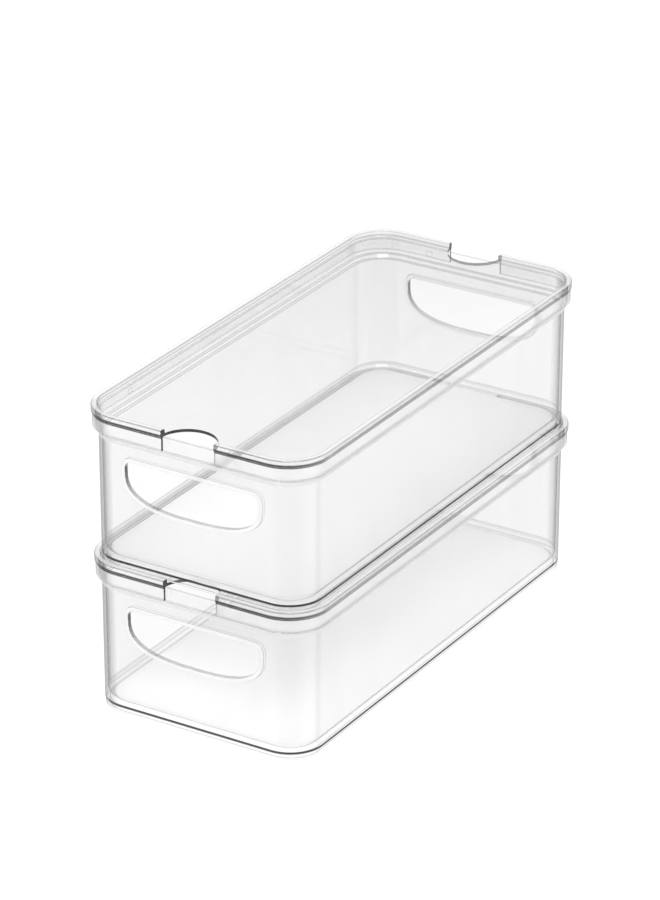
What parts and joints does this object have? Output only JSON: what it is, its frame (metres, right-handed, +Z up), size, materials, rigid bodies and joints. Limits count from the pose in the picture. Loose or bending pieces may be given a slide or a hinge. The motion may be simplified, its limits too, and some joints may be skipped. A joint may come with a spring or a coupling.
{
  "type": "stacking fridge bin set",
  "caption": "Clear, straight-sided fridge bins with D-shaped grip openings and lift-off recessed lids, standing one on the other.",
  "frame": {"origin": "centre of the stack's footprint, on the surface the lower bin stands on", "axes": "+Z up, +Y along the bins' length, +X across their width; the grip openings are in the two short ends, at -Y and +Y"},
  "size_m": [0.166, 0.348, 0.205],
  "materials": {
    "lower_bin": "clear, glossy, injection moulded",
    "lower_lid": "clear, glossy, injection moulded",
    "upper_bin": "clear, glossy, injection moulded",
    "upper_lid": "clear, glossy, injection moulded"
  },
  "bodies": {
    "lower_bin": {"lower_bin": "lower_bin"},
    "lower_lid": {"lower_lid": "lower_lid"},
    "upper_bin": {"upper_bin": "upper_bin"},
    "upper_lid": {"upper_lid": "upper_lid"}
  },
  "joints": [
    {"name": "lower_lid_lift", "type": "slide", "parent": "lower_bin", "child": "lower_lid", "axis": [0, 0, 1], "range_m": [0, 0.06]},
    {"name": "upper_bin_lift", "type": "slide", "parent": "lower_lid", "child": "upper_bin", "axis": [0, 0, 1], "range_m": [0, 0.05]},
    {"name": "upper_lid_lift", "type": "slide", "parent": "upper_bin", "child": "upper_lid", "axis": [0, 0, 1], "range_m": [0, 0.06]}
  ]
}
